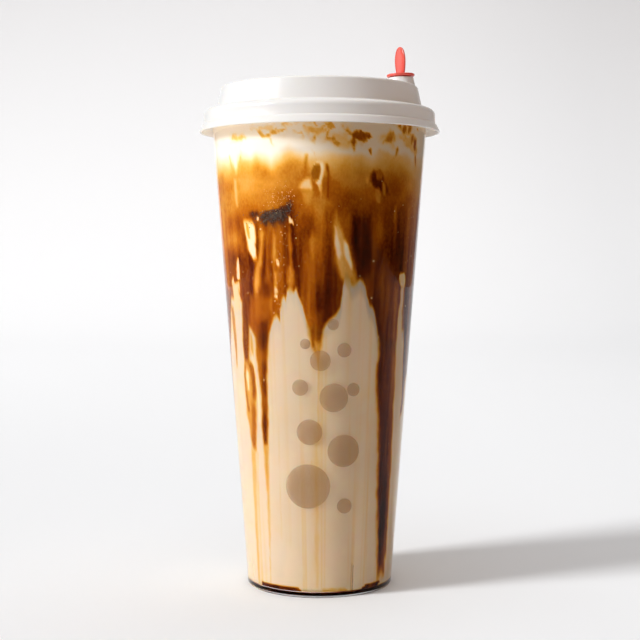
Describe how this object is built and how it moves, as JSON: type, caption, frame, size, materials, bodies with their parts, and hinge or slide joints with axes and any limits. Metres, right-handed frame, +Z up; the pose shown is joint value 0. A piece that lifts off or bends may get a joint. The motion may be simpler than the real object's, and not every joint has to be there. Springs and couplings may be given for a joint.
{
  "type": "bubble tea",
  "caption": "Tall tapered clear cup of milk tea streaked with brown sugar syrup under pale foam, closed by a press-fit white lid with a red stopper in its drinking spout.",
  "frame": {"origin": "centre of the cup's foot, on the surface that it stands on", "axes": "+Z up along the cup's axis, +X towards the drinking spout and its stopper; the picture looks along +Y"},
  "size_m": [0.098, 0.098, 0.2198],
  "materials": {
    "clear_plastic": "clear injection moulded plastic, glossy",
    "milk_tea": "milk tea behind a thin smeared coat of brown sugar syrup",
    "milk_foam": "pale milk foam with wisps of syrup",
    "white_plastic": "white moulded plastic, satin gloss",
    "red_plastic": "red moulded plastic, slightly translucent",
    "printed_ink": "thin see-through taupe ink printed on the cup"
  },
  "bodies": {
    "root": {"cup": "clear_plastic", "milk_tea": "milk_tea", "milk_foam": "milk_foam", "lid": "white_plastic", "stopper": "red_plastic"}
  },
  "joints": []
}
